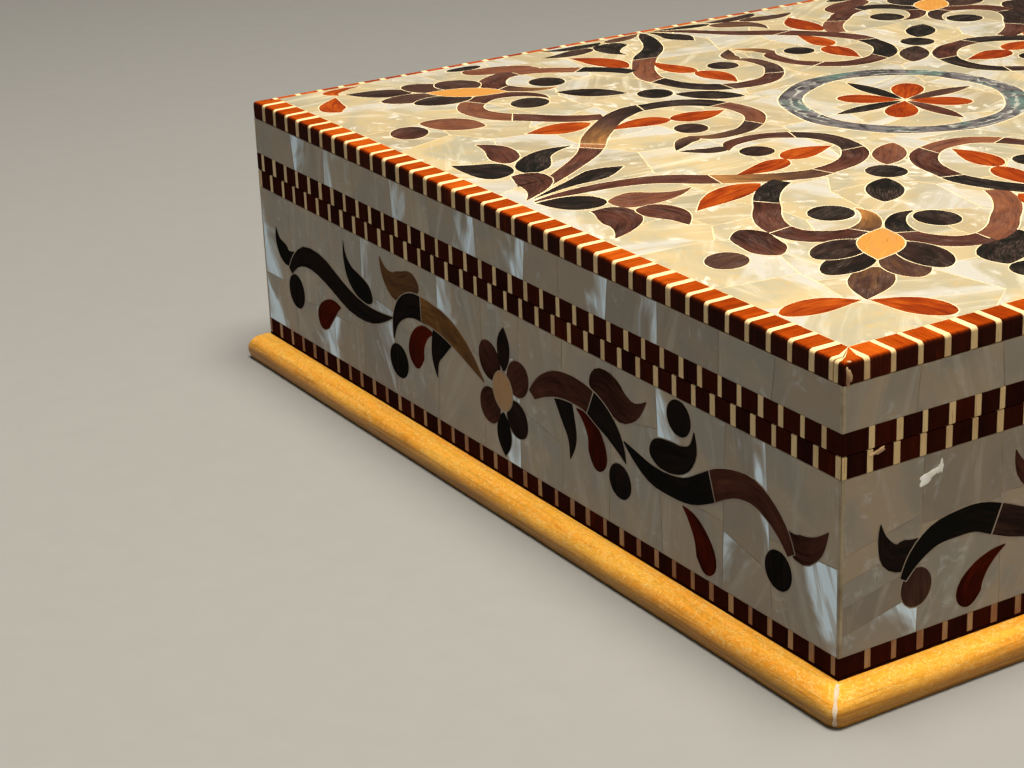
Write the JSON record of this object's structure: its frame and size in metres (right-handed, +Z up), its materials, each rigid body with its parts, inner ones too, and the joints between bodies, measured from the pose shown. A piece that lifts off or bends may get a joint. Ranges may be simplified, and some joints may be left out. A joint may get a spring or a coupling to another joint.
{
  "type": "inlaid shell box",
  "caption": "Rectangular wooden box with a lift-off lid, veneered in mother of pearl with flush wood inlay and block banding, on a rounded base moulding.",
  "frame": {"origin": "centre of the underside, on the surface that the box stands on", "axes": "+Z up, -Y towards the front face with the whole frieze, +X to its right"},
  "size_m": [0.3128, 0.3328, 0.0898],
  "materials": {
    "pearl": "polished mother of pearl, cream with silvery and bluish lustre, laid in small flush pieces with flush dark, brown and red wood inlay",
    "banding": "polished block banding, dark red-brown blocks parted by pale cream strips",
    "carcass_wood": "plain satin wood boards",
    "moulding_wood": "golden-orange varnished beech, satin"
  },
  "bodies": {
    "root": {"base_moulding_front": "moulding_wood", "base_moulding_right": "moulding_wood", "base_moulding_back": "moulding_wood", "base_moulding_left": "moulding_wood", "bottom_panel": "carcass_wood", "body_board_front": "carcass_wood", "body_board_right": "carcass_wood", "body_board_back": "carcass_wood", "body_board_left": "carcass_wood", "body_lower_band_front": "banding", "body_lower_band_right": "banding", "body_lower_band_back": "banding", "body_lower_band_left": "banding", "body_pearl_front": "pearl", "body_pearl_right": "pearl", "body_pearl_back": "pearl", "body_pearl_left": "pearl", "body_upper_band_front": "banding", "body_upper_band_right": "banding", "body_upper_band_back": "banding", "body_upper_band_left": "banding", "lid_board_front": "carcass_wood", "lid_board_right": "carcass_wood", "lid_board_back": "carcass_wood", "lid_board_left": "carcass_wood", "lid_top_board": "carcass_wood", "lid_lower_band_front": "banding", "lid_lower_band_right": "banding", "lid_lower_band_back": "banding", "lid_lower_band_left": "banding", "lid_pearl_front": "pearl", "lid_pearl_right": "pearl", "lid_pearl_back": "pearl", "lid_pearl_left": "pearl", "lid_edge_band_front": "banding", "lid_edge_band_right": "banding", "lid_edge_band_back": "banding", "lid_edge_band_left": "banding", "lid_top_pearl": "pearl"}
  },
  "joints": []
}
